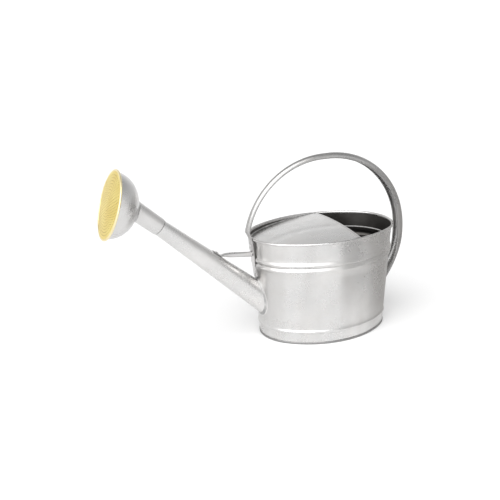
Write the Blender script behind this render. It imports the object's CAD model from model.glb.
import math

import bmesh
import bpy
from mathutils import Matrix, Vector, noise
from mathutils.geometry import delaunay_2d_cdt


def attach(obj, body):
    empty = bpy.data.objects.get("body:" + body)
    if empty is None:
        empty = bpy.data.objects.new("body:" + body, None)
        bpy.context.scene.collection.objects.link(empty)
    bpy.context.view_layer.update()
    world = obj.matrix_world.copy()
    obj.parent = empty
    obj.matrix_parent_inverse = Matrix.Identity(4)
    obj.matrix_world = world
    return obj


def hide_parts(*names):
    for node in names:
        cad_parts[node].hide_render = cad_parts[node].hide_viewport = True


# The looks of a galvanised oval watering can with a round hoop handle and a brass rose.
# Metres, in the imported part's frame: the origin is the centre of the foot, +Z is up and
# the spout points along -X. MM turns a length given in millimetres into metres.

MM = 0.001

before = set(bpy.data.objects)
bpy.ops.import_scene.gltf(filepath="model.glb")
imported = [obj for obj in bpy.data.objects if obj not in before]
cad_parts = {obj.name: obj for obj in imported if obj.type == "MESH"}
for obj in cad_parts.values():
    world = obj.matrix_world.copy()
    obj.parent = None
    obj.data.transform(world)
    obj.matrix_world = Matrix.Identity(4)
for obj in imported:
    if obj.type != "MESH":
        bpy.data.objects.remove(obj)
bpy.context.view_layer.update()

# tank: ovals of four tangent arcs, at the top and at the foot
TANK_HEIGHT = 198 * MM
TOP_OVAL = (141 * MM, 95 * MM, 75 * MM)
FOOT_OVAL = (124.5 * MM, 92 * MM, 71.5 * MM)
SHEET = 0.8 * MM
GAP = 0.05 * MM
AROUND = 320
ROLL_RADIUS = 2.4 * MM
ROLL_OFFSET = 1.5 * MM
ROLL_BORE = 1.55 * MM
LIP_RADIUS = 2.0 * MM
# swages: height of the crest, half width and depth
BEADS = ((24 * MM, 4.0 * MM, 1.6 * MM), (143.5 * MM, 5.4 * MM, 2.5 * MM), (154.5 * MM, 5.4 * MM, 2.5 * MM))
SEAM_HEIGHT = 4 * MM
SEAM_SHEET = 0.9 * MM
WATER_MARK = 167 * MM

# half cover: a shallow arch over the front of the tank
COVER_EDGE = 33 * MM
COVER_CROWN = 203 * MM
COVER_ARCH = 771 * MM
COVER_SLOPE = 17.5 / 178
HEM_RADIUS = 2.2 * MM
TROUGH_DEPTH = 0.55 * MM
TROUGH_WIDTH = 15 * MM
TROUGH_BEND = 4.0
TROUGH_PEAK = -50 * MM
TROUGH_START = -135 * MM

# spout: a cone from the wall to the tip
RISE = math.radians(41.25)
SPOUT_ROOT = Vector((-131 * MM, 0, 81.7 * MM))
SPOUT_AXIS = Vector((-math.cos(RISE), 0, math.sin(RISE)))
SPOUT_UP = Vector((math.sin(RISE), 0, math.cos(RISE)))
ACROSS = Vector((0, 1, 0))
SPOUT_RADIUS = 24.1 * MM
SLIMMING = 0.03955
SPOUT_LENGTH = 272 * MM
SPOUT_SHEET = 0.9 * MM
SPOUT_BEHIND = -45 * MM

# brace between the handle's leg and the spout
BRACE_RADIUS = 4.6 * MM
BRACE_BACK = 165.5 * MM
BRACE_FOOT = 113 * MM
BRACE_SEAM = 0.5 * MM
BRACE_RIVET = 124 * MM

# hoop handle
HOOP_CENTRE = Vector((8 * MM, 0, 170.5 * MM))
HOOP_RADIUS = 163 * MM
HOOP_SHOULDER = 2.4 * MM
HOOP_SHEET = 1.2 * MM
HOOP_NARROW = (14 * MM, 6 * MM)
HOOP_WIDE = (22 * MM, 13.5 * MM)
EDGE_CURL = 1.45 * MM
HOOP_FRONT = 166.7
HOOP_REAR = -36.0
STRAP_OFFSET = 2.6 * MM
STRAP_SHEET = 1.5 * MM
LEG_REST = STRAP_OFFSET + STRAP_SHEET + GAP + HOOP_SHEET

# rivets, in millimetres: radius and height of a head, heights of the pairs up the tank
RIVET_RADIUS = 3.4
RIVET_HEAD = 1.3
FRONT_RIVETS = (182, 174)
REAR_RIVETS = (50, 37)

# rose
SLEEVE_START = 243.4 * MM
SLEEVE_LENGTH = 56 * MM
SLEEVE_RADIUS = 15.9 * MM
SLEEVE_FLARE = 1.1 * MM
SLEEVE_SHEET = 0.9 * MM
FACE_TILT = math.radians(17.8)
FACE_CENTRE = Vector((-396.3 * MM, 0, 291.9 * MM))
FACE_AXIS = Vector((-math.cos(FACE_TILT), 0, math.sin(FACE_TILT)))
FACE_UP = Vector((math.sin(FACE_TILT), 0, math.cos(FACE_TILT)))
DOME_RADIUS = 57.8 * MM
DOME_DEPTH = 48.3 * MM
FACE_SHEET = 0.7 * MM
FACE_CROWN = 3.5 * MM
FACE_ROLL = 1.8 * MM
HOLE_RADIUS = 0.9 * MM
HOLE_PITCH = 5.2 * MM
HOLE_RINGS = 10


# -------- meshes


def mesh_object(name, points, faces, sharp=38):
    """A smooth-shaded object, faces outwards, creased where it bends by more than sharp degrees."""
    mesh = bpy.data.meshes.new(name)
    mesh.from_pydata([tuple(point) for point in points], [], faces)
    work = bmesh.new()
    work.from_mesh(mesh)
    bmesh.ops.recalc_face_normals(work, faces=work.faces)
    work.to_mesh(mesh)
    work.free()
    obj = bpy.data.objects.new(name, mesh)
    bpy.context.scene.collection.objects.link(obj)
    smooth(obj, sharp)
    return obj


def smooth(obj, sharp):
    obj.data.polygons.foreach_set("use_smooth", [True] * len(obj.data.polygons))
    obj.data.set_sharp_from_angle(angle=math.radians(sharp))


def skin(name, rows, loop_rows=False, loop_columns=True, caps=False, sharp=38):
    """A surface through rows of points, each row as long as the others."""
    count = len(rows[0])
    total = len(rows)
    faces = []
    for row in range(total if loop_rows else total - 1):
        below = row * count
        above = (row + 1) % total * count
        for column in range(count if loop_columns else count - 1):
            after = (column + 1) % count
            faces.append((below + column, below + after, above + after, above + column))
    if caps:
        faces.append(tuple(range(count)))
        faces.append(tuple(range((total - 1) * count, total * count)))
    return mesh_object(name, [point for row in rows for point in row], faces, sharp)


def apply_modifiers(obj):
    graph = bpy.context.evaluated_depsgraph_get()
    made = bpy.data.meshes.new_from_object(obj.evaluated_get(graph))
    obj.modifiers.clear()
    obj.data = made


def thicken(obj, thickness, sharp=38):
    """Turns a single surface into sheet, growing away from its outward side."""
    modifier = obj.modifiers.new("sheet", "SOLIDIFY")
    modifier.thickness = thickness
    modifier.offset = -1
    apply_modifiers(obj)
    smooth(obj, sharp)


def cut(obj, tool, sharp=38):
    """Takes tool out of obj and removes tool."""
    modifier = obj.modifiers.new("cut", "BOOLEAN")
    modifier.operation = "DIFFERENCE"
    modifier.solver = "EXACT"
    modifier.object = tool
    apply_modifiers(obj)
    bpy.data.objects.remove(tool)
    smooth(obj, sharp)


def merged(first, second):
    """Adds the second object's mesh to the first as one more shell."""
    work = bmesh.new()
    work.from_mesh(first.data)
    work.from_mesh(second.data)
    work.to_mesh(first.data)
    work.free()
    bpy.data.objects.remove(second)
    return first


def belongs(obj, material, body, slot, *nodes):
    """Gives a piece its finish, its body and the CAD nodes that it stands for."""
    obj.data.materials.append(material)
    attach(obj, body)
    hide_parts(*nodes)


def finish_inside(obj, material, is_inside):
    """Gives a second finish to the faces whose middle is_inside picks."""
    obj.data.materials.append(material)
    for face in obj.data.polygons:
        if is_inside(face.center):
            face.material_index = 1


def eased(share):
    """Smooth step from 0 to 1."""
    share = min(max(share, 0.0), 1.0)
    return share * share * (3 - 2 * share)


def between(first, last, share):
    return first + (last - first) * share


def wobble(point, size, seed=0.0):
    """Smooth noise from -1 to 1 whose swells are about size across."""
    return noise.noise(Vector(point) / size + Vector((seed, seed * 2, seed * 3)))


def solve(rule, low, high):
    """Where rule, which rises through zero between low and high, is zero."""
    for _ in range(40):
        middle = (low + high) / 2
        if rule(middle) > 0:
            high = middle
        else:
            low = middle
    return (low + high) / 2


def circle_points(count):
    return [2 * math.pi * number / count for number in range(count)]


def catmull(keys, steps):
    """A smooth run through rows of numbers, with steps rows from each key to the next."""
    keys = [keys[0]] + list(keys) + [keys[-1]]
    run = []
    for spot in range(1, len(keys) - 2):
        for step in range(steps):
            t = step / steps
            row = []
            for a, b, c, d in zip(*keys[spot - 1:spot + 3]):
                slope = (2 * a - 5 * b + 4 * c - d) * t * t
                bend = (3 * b - a - 3 * c + d) * t * t * t
                row.append(0.5 * (2 * b + (c - a) * t + slope + bend))
            run.append(row)
    run.append(list(keys[-2]))
    return run


# -------- the tank's ovals


def oval_at(height):
    """Half length, half width, end radius, side radius and turn of the oval at a height."""
    share = height / TANK_HEIGHT
    length, width, end = (between(foot, top, share) for foot, top in zip(FOOT_OVAL, TOP_OVAL))
    side = (length * length + width * width - 2 * length * end) / (2 * (width - end))
    return length, width, end, side, math.atan2(side - width, length - end)


def on_oval(angle, height, offset):
    """Point where the oval's outward direction is angle, moved out by offset."""
    length, width, end, side, turn = oval_at(height)
    reach = math.cos(angle)
    lift = math.sin(angle)
    if abs(lift) <= math.sin(turn):
        centre = math.copysign(length - end, reach)
        return Vector((centre + (end + offset) * reach, (end + offset) * lift, height))
    centre = -math.copysign(side - width, lift)
    return Vector(((side + offset) * reach, centre + (side + offset) * lift, height))


def wall_gap(point):
    """How far outside the plain wall a point is, measured level."""
    length, width, end, side, turn = oval_at(point.z)
    reach = abs(point.x) - (length - end)
    if math.atan2(abs(point.y), reach) <= turn:
        return math.hypot(reach, point.y) - end
    return math.hypot(point.x, abs(point.y) + side - width) - side


def bead(height):
    """How far the swages stand out at a height."""
    out = 0.0
    for crest, half, depth in BEADS:
        share = abs(height - crest) / half
        if share < 1:
            out += depth * (0.55 * (1 - share * share) + 0.45 * (0.5 + 0.5 * math.cos(math.pi * share)))
    return out


def wall_heights(bottom, top):
    """Heights up the wall, close together over the swages."""
    heights = [bottom]
    for crest, half, _ in BEADS:
        start = max(heights[-1], crest - half)
        gap_steps = max(1, round((start - heights[-1]) / (14 * MM)))
        heights += [between(heights[-1], start, (step + 1) / gap_steps) for step in range(gap_steps)]
        heights += [between(start, crest + half, (step + 1) / 18) for step in range(18)]
    heights += [between(heights[-1], top, (step + 1) / 4) for step in range(4)]
    return heights


def sheet_wave(angle, height):
    """The slight unevenness of hand-formed sheet, none at the foot and the rim."""
    calm = eased((height - 6 * MM) / (30 * MM)) * eased((TANK_HEIGHT - 8 * MM - height) / (20 * MM))
    return 0.22 * MM * calm * wobble(on_oval(angle, height, 0), 55 * MM, 3.0)


def roll_arc(radius, start, end, steps):
    """Offsets and heights around the rolled rim, angles in degrees from outwards towards up."""
    height = TANK_HEIGHT - ROLL_RADIUS
    spots = []
    for step in range(steps + 1):
        angle = math.radians(between(start, end, step / steps))
        spots.append((ROLL_OFFSET + radius * math.cos(angle), height + radius * math.sin(angle)))
    return spots


def tank_section():
    """The wall's sheet: up its outside, round the wire and down its inside."""
    bottom = SHEET + GAP
    curl = TANK_HEIGHT - ROLL_RADIUS
    heights = wall_heights(bottom, curl - 2 * MM)
    outside = [(bead(height), height) for height in heights]
    inner_curl = roll_arc(ROLL_BORE, 180, -135, 26)
    lip = roll_arc(LIP_RADIUS, -142, -142, 1)[:1]
    outer_curl = roll_arc(ROLL_RADIUS, -135, 180, 30)
    inside = [(bead(height) - SHEET, height) for height in reversed(heights)]
    return outside + inner_curl + lip + outer_curl + inside


def spout_point(distance, radius, angle):
    """Point around the spout's axis; angle 0 is the upper side."""
    around = SPOUT_UP * math.cos(angle) + ACROSS * math.sin(angle)
    return SPOUT_ROOT + SPOUT_AXIS * distance + around * radius


def spout_ring(distance, radius, count=72):
    return [spout_point(distance, radius, angle) for angle in circle_points(count)]


def cone_radius(distance, offset):
    return SPOUT_RADIUS - SLIMMING * distance + offset


def root_distance(angle, cone_offset, wall_offset):
    """How far along the spout its cone, grown by cone_offset, meets the wall grown by wall_offset."""
    def rule(distance):
        return wall_gap(spout_point(distance, cone_radius(distance, cone_offset), angle)) - wall_offset
    return solve(rule, SPOUT_BEHIND, 70 * MM)


def root_point(angle, cone_offset, wall_offset):
    distance = root_distance(angle, cone_offset, wall_offset)
    return spout_point(distance, cone_radius(distance, cone_offset), angle)


def make_tank_wall(material, inner_material):
    section = tank_section()
    rows = []
    for angle in circle_points(AROUND):
        rows.append([on_oval(angle, height, offset + sheet_wave(angle, height))
                     for offset, height in section])
    wall = skin("tank_wall_sheet", rows, loop_rows=True)
    ends = (SPOUT_BEHIND, 60 * MM)
    mouth = [spout_ring(distance, cone_radius(distance, -SPOUT_SHEET)) for distance in ends]
    cut(wall, skin("spout_mouth", mouth, caps=True))
    belongs(wall, material, "root", "galvanised_wall", "tank_wall")

    def inside(point):
        below_rim = point.z < TANK_HEIGHT - 2.2 * ROLL_RADIUS
        return below_rim and wall_gap(point) - bead(point.z) < -SHEET / 2

    finish_inside(wall, inner_material, inside)


def make_base(material):
    """Recessed bottom, seamed round the wall's lower edge."""
    inner = -SHEET - GAP
    rim = GAP + SEAM_SHEET
    soft = 0.35 * MM
    fold = inner - SEAM_SHEET
    section = [(-50 * MM, SEAM_HEIGHT), (-20 * MM, SEAM_HEIGHT), (fold, SEAM_HEIGHT), (inner, SEAM_HEIGHT)]
    section += [(inner, SHEET), (GAP, SHEET), (GAP, SEAM_HEIGHT - soft), (GAP + soft, SEAM_HEIGHT)]
    section += [(rim - soft, SEAM_HEIGHT), (rim, SEAM_HEIGHT - soft), (rim, SEAM_HEIGHT / 2)]
    section += [(rim, soft), (rim - soft, 0), (fold + soft, 0), (fold, soft), (fold, SEAM_HEIGHT - SHEET)]
    section += [(-20 * MM, SEAM_HEIGHT - SHEET), (-50 * MM, SEAM_HEIGHT - SHEET)]
    rows = [[on_oval(angle, height, offset) for angle in circle_points(AROUND)] for offset, height in section]
    base = skin("base_pan_sheet", rows, caps=True, sharp=50)
    belongs(base, material, "root", "galvanised_base", "base_pan")


# -------- the half cover


def cover_height(x, y):
    """Height of the cover's upper face."""
    axis = COVER_CROWN - COVER_ARCH
    along = COVER_CROWN - COVER_SLOPE * (COVER_EDGE - x)
    return axis + math.sqrt((along - axis) ** 2 - y * y)


def cover_border(angle, offset):
    """Point of the cover's upper face where it meets the wall grown by offset."""
    height = COVER_CROWN
    for _ in range(12):
        spot = on_oval(angle, height, offset)
        height = cover_height(spot.x, spot.y)
    return spot


def cover_angle(edge=COVER_EDGE):
    """Outward direction of the wall where a line across the cover at edge meets it."""
    def rule(angle):
        return edge - cover_border(angle, -SHEET - GAP).x
    return solve(rule, math.pi / 4, math.pi / 2 + 0.2)


def buckle(x, y):
    """Depth of the shallow trough that runs along the cover a little to the near side of its crown."""
    middle = -TROUGH_BEND * (x - TROUGH_PEAK) ** 2
    share = abs(y - middle) / TROUGH_WIDTH
    return TROUGH_DEPTH * (1 - eased(share)) * eased((x - TROUGH_START) / (30 * MM))


def make_cover(material):
    """Arched sheet whose straight rear edge is hemmed over a wire."""
    columns = 56
    crease = ((6.2, 0.0), (5.0, 0.1), (4.2, 0.35), (3.5, 0.7), (2.9, 0.8), (2.3, 0.5), (1.6, 0.18),
              (0.8, 0.02), (0.0, 0.0))
    first = cover_angle(COVER_EDGE - 8 * MM)
    lines = [(between(math.pi - 0.02, first, step / columns), 0.0) for step in range(columns + 1)]
    lines += [(cover_angle(COVER_EDGE - reach * MM), drop * MM) for reach, drop in crease]
    rows = []
    for angle, drop in lines:
        border = cover_border(angle, -SHEET - GAP)
        row = []
        for column in range(columns + 1):
            y = between(-border.y, border.y, column / columns)
            calm = eased((COVER_EDGE - border.x) / (20 * MM))
            dent = 0.25 * MM * calm * wobble((border.x, y, 0), 60 * MM, 8.0) - calm * buckle(border.x, y)
            row.append(Vector((border.x, y, cover_height(border.x, y) + dent - drop)))
        rows.append(row)
    edge = rows[-1]
    for step in range(1, 25):
        angle = math.radians(90 - 12.5 * step)
        reach = HEM_RADIUS * math.cos(angle)
        rise = HEM_RADIUS * (math.sin(angle) - 1)
        rows.append([point + Vector((reach, 0, rise)) for point in edge])
    cover = skin("half_cover_sheet", rows, loop_columns=False)
    thicken(cover, SHEET if outward_up(cover) else -SHEET)
    belongs(cover, material, "root", "galvanised_cover", "half_cover")


def outward_up(obj):
    """True if the surface's first faces look upwards."""
    return obj.data.polygons[0].normal.z > 0


def make_cover_solder(material):
    """Solder run in the corner between the cover and the wall."""
    start = cover_angle()
    steps = 150
    profile = ((-0.1, -0.4), (-0.1, 1.5), (0.25, 0.95), (0.75, 0.5), (1.3, 0.25), (2.0, 0.02), (2.0, -0.4))
    rows = []
    for step in range(steps + 1):
        angle = between(start, 2 * math.pi - start, step / steps)
        corner = cover_border(angle, -SHEET - GAP)
        inward = Vector((-math.cos(angle), -math.sin(angle), 0))
        size = 1 + 0.35 * wobble(corner, 9 * MM, 5.0) + 0.2 * wobble(corner, 3 * MM, 9.0)
        row = []
        for reach, rise in profile:
            spot = corner + inward * reach * size * MM
            spot.z = cover_height(spot.x, spot.y) + rise * size * MM
            row.append(spot)
        rows.append(row)
    solder = skin("cover_solder_run", rows, caps=True, sharp=60)
    belongs(solder, material, "root", "solder", "cover_solder")


# -------- the spout


def make_spout(material):
    """Tapered tube, its lower end cut to the wall."""
    angles = circle_points(144)
    roots = [root_distance(angle, 0, -SHEET) for angle in angles]
    steps = 48
    rows = []
    for offset, run in ((0, range(steps + 1)), (-SPOUT_SHEET, range(steps, -1, -1))):
        for step in run:
            row = []
            for angle, root in zip(angles, roots):
                distance = between(root, SPOUT_LENGTH, step / steps)
                point = spout_point(distance, cone_radius(distance, offset), angle)
                wave = 0.10 * MM * wobble(point, 40 * MM, 6.0) * eased(distance / (30 * MM))
                wave *= eased((SLEEVE_START - 6 * MM - distance) / (40 * MM))
                row.append(spout_point(distance, cone_radius(distance, offset) + wave, angle))
            rows.append(row)
    spout = skin("spout_cone", rows, loop_rows=True)
    belongs(spout, material, "root", "galvanised_spout", "spout_tube")


def ring_on_wall(name, profile, ripple, sharp=50):
    """A band round the spout's root: profile holds cone and wall offsets, ripple their unevenness."""
    rows = []
    for angle in circle_points(160):
        spot = root_point(angle, 0, 0)
        size = 1 + ripple * (wobble(spot, 11 * MM, 2.0) + 0.5 * wobble(spot, 4 * MM, 7.0))
        rows.append([root_point(angle, cone * size * MM, wall * MM) for cone, wall in profile])
    return skin(name, rows, loop_rows=True, sharp=sharp)


def make_spout_root(sheet_metal, solder_metal):
    plate = ((0.05, 0.06), (2.6, 0.06), (2.65, 0.45), (2.4, 0.85), (0.05, 0.85))
    flange = ring_on_wall("spout_flange_plate", plate, 0.05)
    belongs(flange, sheet_metal, "root", "galvanised_spout", "spout_flange")
    fillet = ((0.0, 0.6), (1.9, 0.86), (1.35, 1.1), (0.85, 1.5), (0.5, 2.0), (0.2, 2.7), (0.0, 3.4))
    solder = ring_on_wall("spout_solder_run", fillet, 0.22, 60)
    belongs(solder, solder_metal, "root", "solder", "spout_solder")


# -------- bent strips


def strip_row(centre, outward, width, bulge, thick, curl):
    """Closed section of a bulged strip whose crown is at centre; its edges are rolled in by curl."""
    radius = (width * width / 4 + bulge * bulge) / (2 * bulge)
    spread = math.atan2(width / 2, radius - bulge)
    swing = math.radians(between(180, 258, (curl - thick / 2) / (EDGE_CURL - thick / 2)))
    middle = centre - outward * radius
    tuck = 1.7 * max(curl - thick / 2, 0) / radius

    def at(angle, reach):
        return middle + outward * reach * math.cos(angle) + ACROSS * reach * math.sin(angle)

    row = [at(between(-spread, spread, step / 28), radius) for step in range(29)]
    for side in (1, -1):
        end = at(side * spread, radius)
        normal = (end - middle).normalized()
        along = (ACROSS * math.cos(spread) * side - outward * math.sin(spread)).normalized()
        core = end - normal * curl
        bead_row = []
        for step in range(1, 12):
            turn = swing * step / 12
            bead_row.append(core + normal * curl * math.cos(turn) + along * curl * math.sin(turn))
        if side > 0:
            row += bead_row
            inner = spread - tuck
            row += [at(between(inner, -inner, step / 28), radius - thick) for step in range(29)]
        else:
            row += list(reversed(bead_row))
    return row


def strip(name, stations, thick):
    """A strip through stations of centre x, z, outward direction in radians, width, bulge and curl."""
    rows = []
    for x, z, lean, width, bulge, curl in stations:
        outward = Vector((math.cos(lean), 0, math.sin(lean)))
        rows.append(strip_row(Vector((x, 0, z)), outward, width, bulge, thick, curl))
    return skin(name, rows, caps=True, sharp=50)


def hoop_station(angle):
    """The handle's channel, narrow and shallow at the front and full over the hand's place and behind."""
    share = eased((HOOP_FRONT - angle) / (HOOP_FRONT - 20)) ** 2
    narrowing = eased((-2 - angle) / 34)
    width = between(HOOP_NARROW[0], HOOP_WIDE[0], share) - 1 * MM * narrowing
    bulge = between(HOOP_NARROW[1], HOOP_WIDE[1], share) - 8.5 * MM * narrowing
    turn = math.radians(angle)
    shoulder = abs(math.sin(2 * turn)) if angle > 0 else 0.0
    reach = HOOP_RADIUS + HOOP_SHOULDER * shoulder + bulge / 2
    spot = HOOP_CENTRE + Vector((math.cos(turn), 0, math.sin(turn))) * reach
    return [spot.x, spot.z, turn, width, bulge, EDGE_CURL - 0.6 * MM * narrowing]


def wall_station(side, height, offset, width, bulge, curl=0.6):
    """A strip's station on the tank's middle line, at the front (side -1) or the rear (side 1)."""
    length = oval_at(height * MM)[0]
    lean = 0.0 if side > 0 else math.pi
    return [side * (length + offset), height * MM, lean, width * MM, bulge * MM, curl * MM]


def make_handle(material):
    """One strip of sheet: riveted rear foot, hooped channel with rolled edges, pointed front leg."""
    hoop = [hoop_station(between(HOOP_REAR, HOOP_FRONT, step / 130)) for step in range(131)]
    rest = GAP + HOOP_SHEET
    foot_keys = [wall_station(1, 31, rest, 20, 0.66), wall_station(1, 44, rest, 20.8, 0.72),
                 wall_station(1, 55, rest, 21.5, 0.9),
                 wall_station(1, 63, rest + 1.4 * MM, 21.5, 2.0, 0.7), hoop[0]]
    foot_keys[-2][2] = math.radians(-12)
    foot = catmull(foot_keys, 8)[:-1]
    end = foot_keys[0]
    foot = [[end[0], end[1] - 1.2 * MM, 0.0, 15 * MM, 0.4 * MM, end[5]]] + foot
    leg_keys = [hoop[-1],
                wall_station(-1, 200, LEG_REST + 3.2 * MM, 16, 2.8, 0.95),
                wall_station(-1, 189, LEG_REST, 19, 0.75),
                wall_station(-1, 180, LEG_REST, 19, 0.6),
                wall_station(-1, 172, LEG_REST, 19, 0.6)]
    leg = catmull(leg_keys, 8)[1:]
    for height, width, bulge in ((169, 14.5, 0.4), (166, 9.6, 0.2), (163.6, 5.6, 0.08), (162.6, 3.0, 0.03)):
        leg.append(wall_station(-1, height, LEG_REST, width, bulge))
    handle = strip("handle_channel", foot + hoop + leg, HOOP_SHEET)
    belongs(handle, material, "root", "galvanised_handle", "handle_hoop")


def make_front_strap(material):
    crown = STRAP_OFFSET + STRAP_SHEET
    stations = []
    for height, width, bulge in ((193, 13, 0.3), (192, 15, 0.36), (176, 15, 0.36), (162, 15, 0.36),
                                 (149, 12.7, 0.28), (136, 10.3, 0.2), (124, 8.2, 0.12), (122.6, 6.0, 0.08)):
        stations.append(wall_station(-1, height, crown, width, bulge, 0.75))
    strap = strip("front_strap_strip", stations, STRAP_SHEET)
    belongs(strap, material, "root", "galvanised_brace", "front_strap")


# -------- the brace


def flat_row(centre, up, width, thick, sag):
    """Closed oval section whose two sides drop by sag; one side holds the tube's seam."""
    row = []
    for angle in circle_points(40):
        u = math.copysign(abs(math.cos(angle)) ** 0.85, math.cos(angle)) * width / 2
        if math.cos(angle) < -0.999:
            u += BRACE_SEAM
        v = math.copysign(abs(math.sin(angle)) ** 0.85, math.sin(angle)) * thick / 2
        row.append(centre + ACROSS * u + up * (v - sag * (2 * u / width) ** 2))
    return row


def make_brace(material):
    """Tube from the leg to the spout, hammered flat into a saddle that is riveted down."""
    back = Vector((-(oval_at(BRACE_BACK)[0] + LEG_REST + 0.12 * MM), 0, BRACE_BACK))
    lean = RISE - math.atan(SLIMMING)
    foot_along = Vector((-math.cos(lean), 0, math.sin(lean)))

    def on_spout(distance, lift):
        return spout_point(distance, cone_radius(distance, GAP), 0) + SPOUT_UP * lift

    span = on_spout(BRACE_FOOT, 2.2 * MM) - back
    level = span.normalized()
    reach = span.length
    tube = ((0, 2, 2), (0.35, 2, 2), (0.62, 2.02, 2.0), (0.8, 2.18, 1.72), (0.91, 2.45, 1.2))
    saddle = ((113.5, 1.7, 12.2, 3.0), (117, 1.05, 13.0, 1.9), (124, 0.95, 13.2, 1.75),
              (130, 0.95, 12.4, 1.7), (131.7, 0.9, 9.0, 1.3))
    keys = []
    for share, width, thick in tube:
        spot = back + level * reach * share
        keys.append([*spot, *level, width * BRACE_RADIUS, thick * BRACE_RADIUS, 0.0])
    for distance, lift, width, thick in saddle:
        spot = on_spout(distance * MM, lift * MM)
        sag = (width * MM) ** 2 / (8 * cone_radius(distance * MM, 0)) * 0.95
        keys.append([*spot, *foot_along, width * MM, thick * MM, sag])
    rows = []
    bore_up = Vector((level.z, 0, -level.x))
    for depth in (16, 8, 2, 0.4, 0):
        grow = 0.0 if depth > 0.4 else 0.25 * MM
        bore = 2 * (BRACE_RADIUS - 0.9 * MM + grow)
        rows.append(flat_row(back + level * depth * MM, bore_up, bore, bore, 0.0))
    for row in catmull(keys, 7):
        spot = Vector(row[:3])
        forward = Vector(row[3:6]).normalized()
        up = Vector((forward.z, 0, -forward.x))
        width, thick, sag = row[6:]
        lump = 1 + 0.05 * wobble(spot, 6 * MM, 4.0) * eased((spot - back).length / reach * 2 - 0.8)
        rows.append(flat_row(spot, up, width * lump, thick * lump, sag))
    brace = skin("brace_pipe", rows, caps=True, sharp=55)
    belongs(brace, material, "root", "galvanised_brace", "brace_tube")


# -------- rivets


def rivet_rows(base, outward, shank):
    """Rows of a domed head with a soft edge, and of its shank."""
    side = outward.cross(ACROSS).normalized()
    rows = []
    profile = [(0.8, -shank), (1.6, -shank), (1.6, 0.0), (RIVET_RADIUS * 0.97, 0.0)]
    profile.append((RIVET_RADIUS, 0.25))
    for step in range(1, 8):
        tilt = math.pi / 2 * step / 8
        profile.append((RIVET_RADIUS * math.cos(tilt), 0.25 + (RIVET_HEAD - 0.25) * math.sin(tilt)))
    profile.append((0.08, RIVET_HEAD))
    for reach, rise in profile:
        row = []
        for angle in circle_points(36):
            spot = side * math.cos(angle) + ACROSS * math.sin(angle)
            dent = 1 + 0.03 * wobble(base + spot * reach * MM, 2 * MM, rise)
            row.append(base + spot * reach * dent * MM + outward * rise * MM)
        rows.append(row)
    return rows


def make_rivets(material):
    lean = (TOP_OVAL[0] - FOOT_OVAL[0]) / TANK_HEIGHT
    groups = (
        ("handle_rivets_front", "handle_front_rivets", -1, FRONT_RIVETS, LEG_REST, 5.2),
        ("handle_rivets_rear", "handle_rear_rivets", 1, REAR_RIVETS, GAP + HOOP_SHEET, 1.2),
    )
    for name, node, side, heights, offset, shank in groups:
        heads = []
        for number, height in enumerate(heights):
            base = Vector((side * (oval_at(height * MM)[0] + offset), 0, height * MM))
            outward = Vector((side, 0, -lean)).normalized()
            heads.append(skin(f"{name}_{number}", rivet_rows(base, outward, shank), caps=True))
        group = merged(heads[0], heads[1])
        group.name = name
        belongs(group, material, "root", "rivet_steel", node)
    lift = GAP + 1.8 * MM
    base = spout_point(BRACE_RIVET, cone_radius(BRACE_RIVET, lift), 0)
    tilt = RISE - math.atan(SLIMMING)
    outward = Vector((math.sin(tilt), 0, math.cos(tilt)))
    rivet = skin("brace_rivet_head", rivet_rows(base, outward, 2.4), caps=True)
    belongs(rivet, material, "root", "rivet_steel", "brace_rivet")


# -------- the rose


def face_point(reach, angle, lift):
    """Point in the face's frame: reach from its middle and lift out of the mouth's plane."""
    around = FACE_UP * math.cos(angle) + ACROSS * math.sin(angle)
    return FACE_CENTRE + FACE_AXIS * lift + around * reach


def dome_point(tilt, angle, offset):
    """Point of the dome; tilt runs from 0 at its mouth to a quarter turn at the back."""
    reach = (DOME_RADIUS + offset) * math.cos(tilt)
    return face_point(reach, angle, -(DOME_DEPTH + offset) * math.sin(tilt))


def dome_share(point, offset):
    """Below zero inside the dome grown by offset, and above zero outside it."""
    rel = point - FACE_CENTRE
    lift = rel.dot(FACE_AXIS)
    reach = (rel - FACE_AXIS * lift).length
    return (reach / (DOME_RADIUS + offset)) ** 2 + (lift / (DOME_DEPTH + offset)) ** 2 - 1


def sleeve_radius(distance, offset):
    return SLEEVE_RADIUS + SLEEVE_FLARE * (distance - SLEEVE_START) / SLEEVE_LENGTH + offset


def neck_end(angle, sleeve_offset, dome_offset):
    """How far along the spout's axis a line of the sleeve meets the dome grown by dome_offset."""
    def rule(distance):
        return -dome_share(spout_point(distance, sleeve_radius(distance, sleeve_offset), angle), dome_offset)
    return solve(rule, SLEEVE_START, SLEEVE_START + SLEEVE_LENGTH + 20 * MM)


def make_dome(material, inner_material):
    angles = circle_points(160)
    tilts = [math.pi / 2 * step / 48 for step in range(48)]
    rows = [[dome_point(tilt, angle, 0) for angle in angles] for tilt in reversed(tilts)]
    rows += [[dome_point(tilt, angle, -SHEET) for angle in angles] for tilt in tilts]
    dome = skin("rose_dome", rows, caps=True)
    bore = SLEEVE_RADIUS + SLEEVE_FLARE - SLEEVE_SHEET
    ends = (SLEEVE_START + 18 * MM, SLEEVE_START + SLEEVE_LENGTH + 12 * MM)
    cut(dome, skin("dome_mouth", [spout_ring(distance, bore) for distance in ends], caps=True))
    belongs(dome, material, "rose", "galvanised_rose", "rose_shell")
    finish_inside(dome, inner_material, lambda point: dome_share(point, -SHEET / 2) < 0)


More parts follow.
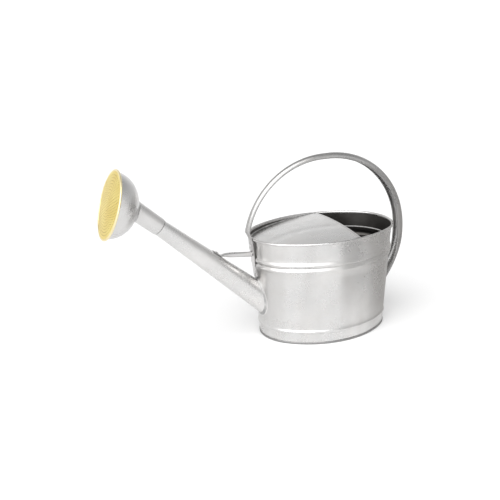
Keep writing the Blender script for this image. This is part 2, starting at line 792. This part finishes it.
def make_neck(sheet_metal, solder_metal):
    """The rose's sleeve, its outer lip softened, and the solder round it on the dome."""
    around = 120
    angles = circle_points(around)
    ends = [neck_end(angle, 0, -SHEET * 0.7) for angle in angles]
    steps = 24
    rows = []
    for offset, run in ((0, range(steps + 1)), (-SLEEVE_SHEET, range(steps, -1, -1))):
        for step in run:
            outer_lip = step == 0 and offset == 0
            soft = 0.25 * MM if outer_lip else 0.0
            row = []
            for angle, end in zip(angles, ends):
                distance = between(SLEEVE_START, end, step / steps)
                row.append(spout_point(distance, sleeve_radius(distance, offset) - soft, angle))
            rows.append(row)
            if outer_lip:
                rows.append(spout_ring(SLEEVE_START + 0.3 * MM, sleeve_radius(SLEEVE_START, 0), around))
    neck = skin("rose_sleeve", rows, loop_rows=True)
    belongs(neck, sheet_metal, "rose", "galvanised_rose", "rose_neck")
    profile = ((0.0, 0.0), (2.2, 0.02), (1.45, 0.45), (0.85, 0.95), (0.35, 1.6), (0.0, 2.5))
    rows = []
    for angle in angles:
        spot = spout_point(neck_end(angle, 0, 0), SLEEVE_RADIUS, angle)
        size = 1 + 0.2 * wobble(spot, 7 * MM, 1.0) + 0.1 * wobble(spot, 3 * MM, 2.0)
        row = []
        for sleeve_offset, dome_offset in profile:
            distance = neck_end(angle, sleeve_offset * size * MM, dome_offset * size * MM)
            row.append(spout_point(distance, sleeve_radius(distance, sleeve_offset * size * MM), angle))
        rows.append(row)
    solder = skin("rose_solder_run", rows, loop_rows=True, sharp=60)
    belongs(solder, solder_metal, "rose", "solder", "neck_solder")


def hole_centres():
    """Middle hole, then rings with six more holes in each than in the last."""
    spots = [(0.0, 0.0)]
    for ring in range(1, HOLE_RINGS + 1):
        for number in range(6 * ring):
            angle = 2 * math.pi * number / (6 * ring)
            spots.append((ring * HOLE_PITCH * math.cos(angle), ring * HOLE_PITCH * math.sin(angle)))
    return spots


def cap_lift(reach):
    """Height of the face's outer side over the mouth, falling from its middle to its edge."""
    edge = DOME_RADIUS + 0.5 * MM
    ball = (edge * edge + FACE_CROWN * FACE_CROWN) / (2 * FACE_CROWN)
    return GAP + FACE_SHEET + FACE_CROWN - ball + math.sqrt(ball * ball - reach * reach)


def make_face(material, hole_material, roll_material):
    """Pierced convex sheet with a rolled edge over the dome's mouth."""
    def circle(x, y, radius, sides):
        return [(x + radius * math.cos(a), y + radius * math.sin(a)) for a in circle_points(sides)]

    loops = [circle(x, y, HOLE_RADIUS, 12) for x, y in hole_centres()]
    loops.append(circle(0, 0, DOME_RADIUS + 0.4 * MM, 180))
    flat = [Vector(spot) for loop in loops for spot in loop]
    borders = []
    owner = []
    for number, loop in enumerate(loops):
        start = len(owner)
        owner += [number] * len(loop)
        borders += [(start + spot, start + (spot + 1) % len(loop)) for spot in range(len(loop))]
    _, _, triangles, _, _, _ = delaunay_2d_cdt(flat, borders, [], 0, 1e-7)
    outer_loop = len(loops) - 1
    kept = []
    for triangle in triangles:
        owners = {owner[spot] for spot in triangle}
        if len(owners) > 1 or owners == {outer_loop}:
            kept.append(tuple(triangle))
    count = len(flat)
    points = []
    for drop in (0, FACE_SHEET):
        for spot in flat:
            points.append(face_point(spot.length, math.atan2(spot.y, spot.x), cap_lift(spot.length) - drop))
    faces = kept + [tuple(spot + count for spot in reversed(triangle)) for triangle in kept]
    hole_walls = [(a, b, b + count, a + count) for a, b in borders]
    sheet_faces = len(faces)
    face = mesh_object("rose_face_sheet", points, faces + hole_walls, sharp=30)
    face.data.materials.append(material)
    face.data.materials.append(hole_material)
    face.data.materials.append(roll_material)
    for polygon in list(face.data.polygons)[sheet_faces:]:
        polygon.material_index = 1
    middle = DOME_RADIUS + GAP + FACE_ROLL
    rows = []
    for angle in circle_points(200):
        rows.append([face_point(middle + FACE_ROLL * math.cos(a), angle, -0.1 * MM + FACE_ROLL * math.sin(a))
                     for a in circle_points(28)])
    roll = skin("rose_face_roll", rows, loop_rows=True)
    roll.data.polygons.foreach_set("material_index", [2] * len(roll.data.polygons))
    merged(face, roll)
    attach(face, "rose")
    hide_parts("rose_face")


# -------- materials


class Finish:
    """One material, built node by node."""

    def __init__(self, name, metallic):
        self.material = bpy.data.materials.new(name)
        self.material.use_nodes = True
        self.nodes = self.material.node_tree.nodes
        self.links = self.material.node_tree.links
        self.shader = self.nodes["Principled BSDF"]
        self.shader.inputs["Metallic"].default_value = metallic
        self.place = self.add("ShaderNodeTexCoord").outputs["Object"]

    def add(self, kind, settings=None, **inputs):
        """A node with its settings, and its inputs set to a value or joined to a socket."""
        node = self.nodes.new(kind)
        for key, value in (settings or {}).items():
            setattr(node, key, value)
        for key, value in inputs.items():
            self.join(node.inputs[key.replace("_", " ")], value)
        return node

    def join(self, socket, value):
        if isinstance(value, bpy.types.NodeSocket):
            self.links.new(value, socket)
        else:
            socket.default_value = value

    def noise(self, scale, detail=3.0, stretch=(1, 1, 1), turn=0.0):
        """Noise from 0 to 1, stretched along a direction turned about Y."""
        mapped = self.add("ShaderNodeMapping", Vector=self.place, Rotation=(0, turn, 0))
        squeezed = self.add("ShaderNodeMapping", Vector=mapped.outputs[0], Scale=stretch)
        texture = self.add("ShaderNodeTexNoise", Vector=squeezed.outputs[0], Scale=scale, Detail=detail)
        return texture.outputs["Fac"]

    def spangle(self, scale):
        """Flat-toned crystals, each with a tone of its own."""
        warp = self.add("ShaderNodeTexNoise", Vector=self.place, Scale=scale * 1.3, Detail=2.0)
        bent = self.add("ShaderNodeMix", {"data_type": "VECTOR"})
        bent.inputs[0].default_value = 0.002
        self.links.new(self.place, bent.inputs[4])
        self.links.new(warp.outputs["Color"], bent.inputs[5])
        cells = self.add("ShaderNodeTexVoronoi", Vector=bent.outputs[1], Scale=scale)
        return self.add("ShaderNodeSeparateColor", Color=cells.outputs["Color"]).outputs[0]

    def ramp(self, value, low, high, first, last):
        """Value carried from the span low to high onto first to last, and held there."""
        node = self.add("ShaderNodeMapRange", Value=value)
        for name, number in (("From Min", low), ("From Max", high), ("To Min", first), ("To Max", last)):
            self.join(node.inputs[name], number)
        return node.outputs["Result"]

    def mix(self, share, first, last):
        node = self.add("ShaderNodeMix", {"data_type": "RGBA"})
        self.join(node.inputs[0], share)
        self.join(node.inputs[6], first)
        self.join(node.inputs[7], last)
        return node.outputs[2]

    def math(self, operation, first, second):
        node = self.add("ShaderNodeMath", {"operation": operation})
        self.join(node.inputs[0], first)
        self.join(node.inputs[1], second)
        return node.outputs[0]

    def bump(self, height, distance, strength, under=None):
        node = self.add("ShaderNodeBump", Height=height, Distance=distance, Strength=strength)
        if under is not None:
            self.links.new(under, node.inputs["Normal"])
        return node.outputs["Normal"]

    def line(self, value, middle, near, far, most):
        """Most where value is within near of middle, falling to 0 at far."""
        away = self.math("ABSOLUTE", self.math("SUBTRACT", value, middle), 0.0)
        return self.ramp(away, near, far, most, 0.0)

    def done(self, **inputs):
        """Joins the shader's inputs and gives the material."""
        for key, value in inputs.items():
            self.join(self.shader.inputs[key.replace("_", " ")], value)
        return self.material


def grey(tone, warmth=0.0):
    return (tone * (1 + warmth), tone, tone * (1 - warmth), 1.0)


def galvanised(name, tone, rough, crystals=70.0, grain=(1, 1, 1), turn=0.0, dull=0.0, bands=0.0, seam=None):
    """Zinc on steel: faint crystals, a warm bloom and fine grain.

    bands adds broad upright bands, and seam a dark line at that distance along the spout.
    """
    finish = Finish(name, 1.0)
    cloud = finish.noise(14, 2)
    bloom = finish.noise(45, 1)
    crystal = finish.spangle(crystals)
    streak = finish.noise(260, 3, grain, turn)
    base = finish.mix(finish.ramp(cloud, 0.35, 0.68, 0, 1), grey(tone * 0.95, 0.005),
                      grey(tone * 1.04, 0.014))
    base = finish.mix(finish.ramp(bloom, 0.48, 0.72, 0, 0.35), base, grey(tone * 0.90, 0.03))
    base = finish.mix(finish.ramp(crystal, 0, 1, 0.0, 0.10), base, grey(tone * 0.86, -0.01))
    if bands:
        upright = finish.noise(17, 2, (1, 1, 0.12))
        base = finish.mix(finish.ramp(upright, 0.42, 0.62, 0, bands), base, grey(tone * 0.72, 0.02))
    base = finish.mix(finish.ramp(streak, 0.35, 0.7, 0, 0.10), base, grey(tone * 0.8))
    if seam:
        along = finish.add("ShaderNodeVectorMath", {"operation": "DOT_PRODUCT"})
        finish.join(along.inputs[0], finish.place)
        finish.join(along.inputs[1], SPOUT_AXIS)
        place = SPOUT_ROOT.dot(SPOUT_AXIS) + seam
        dark = finish.line(along.outputs["Value"], place, 0.5 * MM, 1.5 * MM, 0.8)
        base = finish.mix(dark, base, grey(tone * 0.25, 0.03))
    roughness = finish.ramp(cloud, 0.3, 0.7, rough - 0.04, rough + 0.05)
    roughness = finish.math("ADD", roughness, finish.ramp(crystal, 0, 1, -0.03, 0.04))
    roughness = finish.math("ADD", roughness, finish.ramp(streak, 0.3, 0.7, -0.03, 0.03))
    waves = finish.bump(finish.noise(14, 1), 0.3 * MM, 0.10 + dull)
    grained = finish.bump(streak, 0.01 * MM, 0.05, waves)
    return finish.done(Base_Color=base, Roughness=roughness, Normal=grained)


def inside_tank(name, tone, mark):
    """Dark weathered zinc with a pale line of lime at the height that the water stood at."""
    finish = Finish(name, 1.0)
    cloud = finish.noise(18, 4)
    level = finish.add("ShaderNodeSeparateXYZ", Vector=finish.place).outputs["Z"]
    line = finish.line(level, mark, 0.5 * MM, 1.3 * MM, 0.85)
    base = finish.mix(finish.ramp(cloud, 0.35, 0.7, 0, 1), grey(tone * 0.8, 0.06), grey(tone * 1.2, 0.04))
    return finish.done(Base_Color=finish.mix(line, base, grey(0.8, 0.01)),
                       Metallic=finish.ramp(line, 0, 1, 1.0, 0.0),
                       Roughness=finish.ramp(cloud, 0.3, 0.7, 0.42, 0.58),
                       Normal=finish.bump(cloud, 0.4 * MM, 0.15))


def solder_metal():
    finish = Finish("soft_solder", 1.0)
    blotch = finish.noise(120, 4)
    base = finish.mix(finish.ramp(blotch, 0.35, 0.7, 0, 1), grey(0.34), grey(0.56, 0.01))
    return finish.done(Base_Color=base,
                       Roughness=finish.ramp(blotch, 0.3, 0.7, 0.34, 0.55),
                       Normal=finish.bump(finish.noise(420, 3), 0.25 * MM, 0.5))


def plain_steel(name, tone, rough):
    finish = Finish(name, 1.0)
    grain = finish.noise(500, 3)
    base = finish.mix(grain, grey(tone * 0.9), grey(tone * 1.08, 0.01))
    return finish.done(Base_Color=base,
                       Roughness=finish.ramp(grain, 0.3, 0.7, rough - 0.06, rough + 0.06),
                       Normal=finish.bump(grain, 0.04 * MM, 0.3))


def brass(name, dark, light):
    """Spun brass, faintly cloudy, with fine specks of tarnish."""
    finish = Finish(name, 1.0)
    cloud = finish.noise(30, 4)
    fine = finish.noise(300, 3)
    base = finish.mix(finish.ramp(cloud, 0.35, 0.68, 0, 1), dark, light)
    base = finish.mix(finish.ramp(fine, 0.5, 0.75, 0, 0.25), base, [0.85 * part for part in dark[:3]] + [1.0])
    return finish.done(Base_Color=base,
                       Roughness=finish.ramp(cloud, 0.3, 0.7, 0.30, 0.42),
                       Normal=finish.bump(fine, 0.05 * MM, 0.3))


def rubber():
    finish = Finish("black_rubber", 0.0)
    grain = finish.noise(350, 4)
    return finish.done(Base_Color=finish.mix(grain, grey(0.018), grey(0.04)),
                       Roughness=finish.ramp(grain, 0.3, 0.7, 0.6, 0.8),
                       Normal=finish.bump(grain, 0.1 * MM, 0.4))


def matt_floor():
    finish = Finish("pale_floor", 0.0)
    cloud = finish.noise(2, 3)
    return finish.done(Base_Color=finish.mix(cloud, grey(0.84), grey(0.87)),
                       Roughness=finish.ramp(cloud, 0.3, 0.7, 0.75, 0.85))


def carried_over(node, material):
    """A CAD node that stays as it is, with a finish of its own."""
    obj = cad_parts[node]
    obj.data.materials.clear()
    obj.data.materials.append(material)


# -------- stage, light and camera


def make_floor():
    reach = 30.0
    bpy.ops.mesh.primitive_plane_add(size=2 * reach)
    floor = bpy.context.object
    floor.name = "floor"
    floor.data.materials.append(matt_floor())


def soft_sun(name, place, spread, power):
    """Light from far off in the direction of place, as wide as a big soft box."""
    data = bpy.data.lights.new(name, "SUN")
    data.angle = math.radians(spread)
    data.energy = power
    light = bpy.data.objects.new(name, data)
    bpy.context.scene.collection.objects.link(light)
    light.rotation_euler = Vector(place).to_track_quat("Z", "Y").to_euler()


def make_lights():
    make_world(1.12, 0.46, 0.70)
    soft_sun("key", (-0.55, -0.60, 0.85), 75, 3.1)
    make_dark_card()


def make_dark_card():
    """A curved card round the rear end, on the floor and up, seen only in the steel: it darkens one side."""
    middle = 0.05
    near_end = math.radians(-85)
    far_end = math.radians(60)
    turns = [between(near_end, far_end, step / 30) for step in range(31)]
    rows = []
    for reach, height in ((0.12, 0.001), (0.30, 0.001), (0.30, 0.34)):
        rows.append([(middle + reach * math.cos(turn), reach * math.sin(turn), height) for turn in turns])
    card = skin("dark_card", rows, loop_columns=False)
    finish = Finish("card", 0.0)
    cloud = finish.noise(3, 2)
    spot = finish.add("ShaderNodeSeparateXYZ", Vector=finish.place)
    turn = finish.math("ARCTAN2", spot.outputs["Y"], finish.math("SUBTRACT", spot.outputs["X"], middle))
    fade = finish.ramp(turn, near_end, math.radians(-10), 0.0, 1.0)
    card.data.materials.append(finish.done(Base_Color=finish.mix(fade, grey(0.85), grey(0.42, 0.02)),
                                           Roughness=finish.ramp(cloud, 0.3, 0.7, 0.8, 0.9)))
    card.visible_camera = False
    card.visible_diffuse = False
    card.visible_shadow = False


def make_world(bright, overhead, right):
    """A plain studio: bright round the horizon, dimmer overhead and to the right of the can."""
    world = bpy.data.worlds.new("studio")
    bpy.context.scene.world = world
    world.use_nodes = True
    nodes = world.node_tree.nodes
    links = world.node_tree.links
    place = nodes.new("ShaderNodeTexCoord")
    parts = nodes.new("ShaderNodeSeparateXYZ")
    links.new(place.outputs["Generated"], parts.inputs[0])
    strength = nodes.new("ShaderNodeValue")
    strength.outputs[0].default_value = bright
    strength = strength.outputs[0]
    for axis, low, high, last in (("Z", 0.15, 0.9, overhead / bright), ("X", 0.55, 1.0, right / bright)):
        fall = nodes.new("ShaderNodeMapRange")
        fall.interpolation_type = "SMOOTHSTEP"
        for name, number in (("From Min", low), ("From Max", high), ("To Min", 1.0), ("To Max", last)):
            fall.inputs[name].default_value = number
        links.new(parts.outputs[axis], fall.inputs["Value"])
        product = nodes.new("ShaderNodeMath")
        product.operation = "MULTIPLY"
        links.new(strength, product.inputs[0])
        links.new(fall.outputs["Result"], product.inputs[1])
        strength = product.outputs[0]
    nodes["Background"].inputs["Color"].default_value = grey(1.0)
    links.new(strength, nodes["Background"].inputs["Strength"])


def make_camera():
    """The camera stands before the spout's side, a little above the can."""
    azimuth = math.radians(-22.52)
    elevation = math.radians(17.89)
    roll = math.radians(-1.60)
    distance = 1.5
    aim = Vector((-0.1222, 0, 0.1893))
    level = math.cos(elevation)
    back = Vector((math.sin(azimuth) * level, -math.cos(azimuth) * level, math.sin(elevation)))
    right = Vector((math.cos(azimuth), math.sin(azimuth), 0))
    up = back.cross(right)
    rolled_right = right * math.cos(roll) + up * math.sin(roll)
    rolled_up = up * math.cos(roll) - right * math.sin(roll)
    data = bpy.data.cameras.new("camera")
    data.lens = 58.84
    data.sensor_width = 36
    data.shift_x = -0.0234
    data.shift_y = -0.0200
    data.clip_start = 0.05
    data.clip_end = 100
    camera = bpy.data.objects.new("camera", data)
    bpy.context.scene.collection.objects.link(camera)
    turn = Matrix((rolled_right, rolled_up, back)).transposed().to_4x4()
    camera.matrix_world = Matrix.Translation(aim + back * distance) @ turn
    bpy.context.scene.camera = camera


# -------- the whole can

make_camera()
make_lights()
make_floor()
bpy.context.scene.view_settings.view_transform = "Standard"

wall_metal = galvanised("zinc_wall", 0.66, 0.30, bands=0.5)
inside_metal = galvanised("zinc_inside", 0.10, 0.50, dull=0.1)
tank_inside = inside_tank("zinc_tank_inside", 0.10, WATER_MARK)
base_metal = galvanised("zinc_base", 0.30, 0.40, dull=0.1)
cover_metal = galvanised("zinc_cover", 0.66, 0.30)
spout_metal = galvanised("zinc_spout", 0.67, 0.28, grain=(0.08, 1, 1), turn=RISE,
                         seam=SLEEVE_START - 0.9 * MM)
handle_metal = galvanised("zinc_handle", 0.44, 0.30, crystals=110)
brace_metal = galvanised("zinc_brace", 0.60, 0.30, crystals=110)
rose_metal = galvanised("zinc_rose", 0.63, 0.30)
hole_metal = galvanised("tarnished_hole", 0.02, 0.6)
solder_finish = solder_metal()
rivet_finish = plain_steel("rivet_steel", 0.62, 0.34)
wire_finish = plain_steel("drawn_wire", 0.60, 0.30)
face_brass = brass("spun_brass", (0.70, 0.53, 0.11, 1), (0.83, 0.70, 0.24, 1))
roll_brass = brass("rubbed_brass", (0.80, 0.68, 0.38, 1), (0.88, 0.80, 0.54, 1))

make_tank_wall(wall_metal, tank_inside)
make_base(base_metal)
make_cover(cover_metal)
make_cover_solder(solder_finish)
make_spout(spout_metal)
make_spout_root(spout_metal, solder_finish)
make_handle(handle_metal)
make_front_strap(brace_metal)
make_brace(brace_metal)
make_rivets(rivet_finish)
make_dome(rose_metal, inside_metal)
make_neck(rose_metal, solder_finish)
make_face(face_brass, hole_metal, roll_brass)
carried_over("rim_wire", wire_finish)
carried_over("cover_wire", wire_finish)
carried_over("rose_seal", rubber())

bpy.context.view_layer.update()
